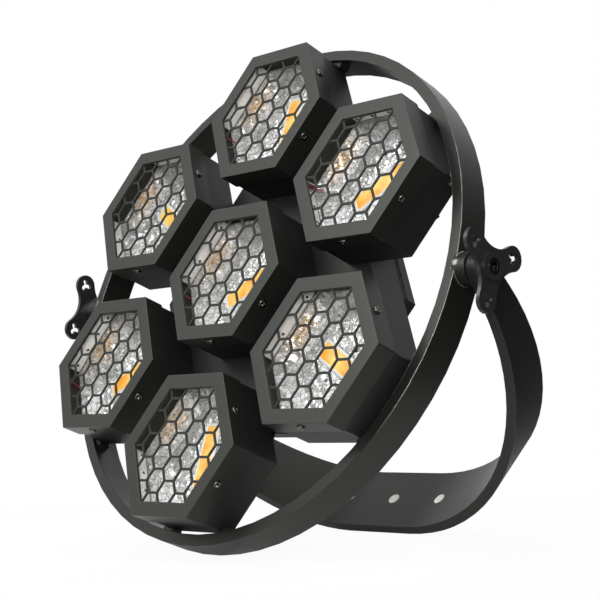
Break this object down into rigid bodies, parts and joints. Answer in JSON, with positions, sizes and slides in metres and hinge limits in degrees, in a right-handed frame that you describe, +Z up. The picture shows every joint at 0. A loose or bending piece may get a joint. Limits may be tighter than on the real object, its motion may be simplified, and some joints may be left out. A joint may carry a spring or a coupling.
{
  "type": "retro LED stage light",
  "caption": "Stage light of hexagonal lamps with honeycomb grilles in a round hoop, tilting in a flared floor-standing yoke locked by lobed knobs.",
  "frame": {"origin": "centre of the bounding box on the floor", "axes": "+Z up, the lamps face -Y and are tipped a little upwards, +X to the right as seen from the front; the pivot axis runs along X"},
  "size_m": [0.6306, 0.3844, 0.5374],
  "materials": {
    "frame_paint": "satin",
    "case_paint": "satin",
    "black_paint": "matte",
    "reflector": "polished",
    "phosphor": "yellow phosphor on a white board",
    "plain_aluminium": "satin",
    "supply_case": "satin",
    "circuit_board": "green solder mask",
    "display_window": "gloss",
    "black_plastic": "moulded",
    "knob_plastic": "satin",
    "dark_steel": "satin"
  },
  "bodies": {
    "yoke": {"yoke": "frame_paint"},
    "head": {"front_cap_centre": "case_paint", "honeycomb_grille_centre": "case_paint", "lamp_can_centre": "black_paint", "reflector_centre": "reflector", "led_centre": "phosphor", "heat_sink_centre": "plain_aluminium", "front_cap_top": "case_paint", "honeycomb_grille_top": "case_paint", "lamp_can_top": "black_paint", "reflector_top": "reflector", "led_top": "phosphor", "heat_sink_top": "plain_aluminium", "front_cap_upper_right": "case_paint", "honeycomb_grille_upper_right": "case_paint", "lamp_can_upper_right": "black_paint", "reflector_upper_right": "reflector", "led_upper_right": "phosphor", "heat_sink_upper_right": "plain_aluminium", "front_cap_lower_right": "case_paint", "honeycomb_grille_lower_right": "case_paint", "lamp_can_lower_right": "black_paint", "reflector_lower_right": "reflector", "led_lower_right": "phosphor", "heat_sink_lower_right": "plain_aluminium", "front_cap_bottom": "case_paint", "honeycomb_grille_bottom": "case_paint", "lamp_can_bottom": "black_paint", "reflector_bottom": "reflector", "led_bottom": "phosphor", "heat_sink_bottom": "plain_aluminium", "front_cap_lower_left": "case_paint", "honeycomb_grille_lower_left": "case_paint", "lamp_can_lower_left": "black_paint", "reflector_lower_left": "reflector", "led_lower_left": "phosphor", "heat_sink_lower_left": "plain_aluminium", "front_cap_upper_left": "case_paint", "honeycomb_grille_upper_left": "case_paint", "lamp_can_upper_left": "black_paint", "reflector_upper_left": "reflector", "led_upper_left": "phosphor", "heat_sink_upper_left": "plain_aluminium", "hoop": "frame_paint", "rear_frame": "black_paint", "rear_cover": "black_paint", "power_supply": "supply_case", "control_board": "circuit_board", "display": "display_window", "signal_in_socket": "black_plastic", "power_inlet": "black_plastic", "signal_out_socket": "black_plastic"},
    "knob_right": {"knob_right": "knob_plastic", "pivot_bolt_right": "dark_steel"},
    "knob_left": {"knob_left": "knob_plastic", "pivot_bolt_left": "dark_steel"},
    "menu_button_1": {"menu_button_1": "black_plastic"},
    "menu_button_2": {"menu_button_2": "black_plastic"},
    "menu_button_3": {"menu_button_3": "black_plastic"},
    "menu_button_4": {"menu_button_4": "black_plastic"}
  },
  "joints": [
    {"name": "head_tilt", "type": "hinge", "parent": "yoke", "child": "head", "pos_m": [0, -0.04195, 0.26955], "axis": [1, 0, 0], "range_deg": [-29.3, 150.7]},
    {"name": "knob_right_turn", "type": "hinge", "parent": "head", "child": "knob_right", "pos_m": [0.31, -0.04195, 0.26955], "axis": [1, 0, 0], "range_deg": [0, 360]},
    {"name": "knob_left_turn", "type": "hinge", "parent": "head", "child": "knob_left", "pos_m": [-0.31, -0.04195, 0.26955], "axis": [-1, 0, 0], "range_deg": [0, 360]},
    {"name": "menu_button_1_press", "type": "slide", "parent": "head", "child": "menu_button_1", "axis": [0, -0.9337, 0.3582], "range_m": [0, 0.0012], "stiffness_N_per_m": 400, "springref_m": -0.001},
    {"name": "menu_button_2_press", "type": "slide", "parent": "head", "child": "menu_button_2", "axis": [0, -0.9337, 0.3582], "range_m": [0, 0.0012], "stiffness_N_per_m": 400, "springref_m": -0.001},
    {"name": "menu_button_3_press", "type": "slide", "parent": "head", "child": "menu_button_3", "axis": [0, -0.9337, 0.3582], "range_m": [0, 0.0012], "stiffness_N_per_m": 400, "springref_m": -0.001},
    {"name": "menu_button_4_press", "type": "slide", "parent": "head", "child": "menu_button_4", "axis": [0, -0.9337, 0.3582], "range_m": [0, 0.0012], "stiffness_N_per_m": 400, "springref_m": -0.001}
  ]
}
